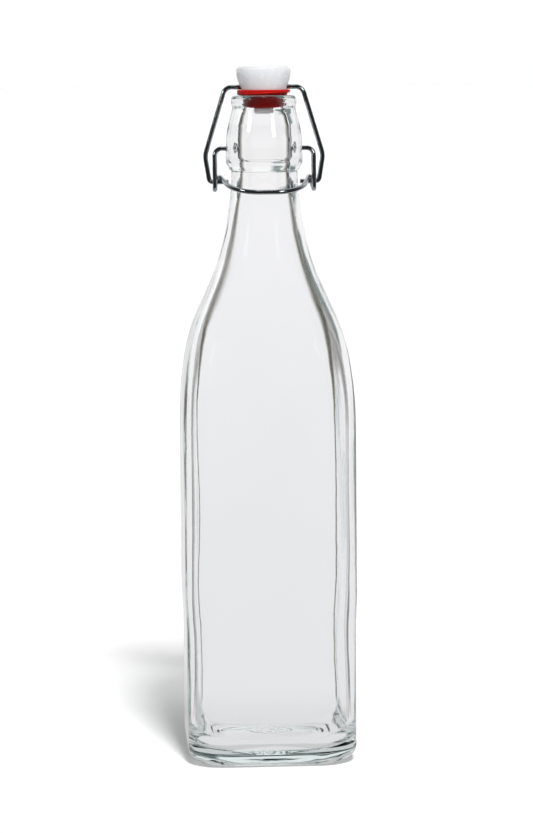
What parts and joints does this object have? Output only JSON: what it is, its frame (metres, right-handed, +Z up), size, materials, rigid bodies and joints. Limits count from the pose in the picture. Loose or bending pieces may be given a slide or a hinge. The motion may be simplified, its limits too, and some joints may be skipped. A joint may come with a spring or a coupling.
{
  "type": "growler",
  "caption": "Swing-top growler: rounded-square clear glass bottle with a wire over-centre closure, moulded stopper and rubber gasket.",
  "frame": {"origin": "centre of the base on the resting plane, under the neck axis", "axes": "+Z up along the neck axis, -Y towards the side where the lever's bow lies, X along the closure's pivot axes"},
  "size_m": [0.0788, 0.0788, 0.318],
  "materials": {
    "clear_glass": "polished, very faint green-grey in thick parts",
    "white_plastic": "glossy",
    "red_rubber": "satin",
    "steel_wire": "bright drawn wire"
  },
  "bodies": {
    "bottle": {"bottle": "clear_glass"},
    "lever": {"lever_wire": "steel_wire"},
    "bail": {"bail_wire": "steel_wire"},
    "stopper": {"stopper": "white_plastic", "gasket": "red_rubber"}
  },
  "joints": [
    {"name": "lever_pivot", "type": "hinge", "parent": "bottle", "child": "lever", "pos_m": [0, 0, 0.2807], "axis": [-1, 0, 0], "range_deg": [0, 170]},
    {"name": "bail_pivot", "type": "hinge", "parent": "lever", "child": "bail", "pos_m": [0, 0.001, 0.26544], "axis": [-1, 0, 0], "range_deg": [-113.1, 0]},
    {"name": "stopper_pivot", "type": "hinge", "parent": "bail", "child": "stopper", "pos_m": [0, 0, 0.3086], "axis": [-1, 0, 0], "range_deg": [-57, 0]}
  ],
  "couplings": [
    {"joint": "bail_pivot", "follows": "lever_pivot", "ratio": -0.665},
    {"joint": "stopper_pivot", "follows": "lever_pivot", "ratio": -0.335}
  ]
}
